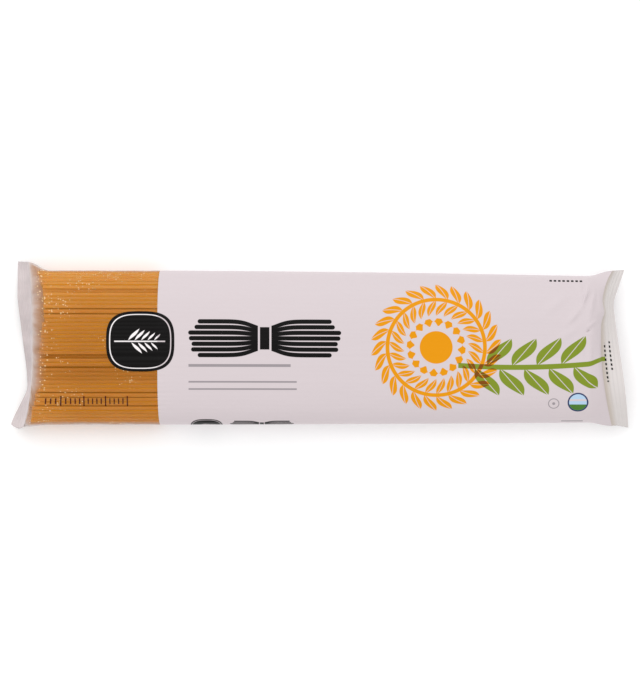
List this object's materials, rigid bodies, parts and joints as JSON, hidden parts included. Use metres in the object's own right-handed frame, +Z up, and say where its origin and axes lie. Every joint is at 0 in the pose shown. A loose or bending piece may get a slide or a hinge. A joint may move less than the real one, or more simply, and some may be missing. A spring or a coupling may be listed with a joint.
{
  "type": "pasta packet",
  "caption": "Long pillow-shaped film packet of straight pasta strands, lying flat, with a crimped seal at each end and a clear stretch that shows the strands.",
  "frame": {"origin": "middle of the underside of the packet's box", "axes": "+X along the packet from its clear end to its printed end, +Y across it, +Z up out of its front"},
  "size_m": [0.289, 0.0778, 0.0261],
  "materials": {
    "printed_film": "white-printed polypropylene film, satin with soft highlights",
    "dry_pasta": "dried durum wheat pasta, smooth and slightly waxy"
  },
  "bodies": {
    "root": {"pasta_packet": "printed_film"}
  },
  "joints": []
}
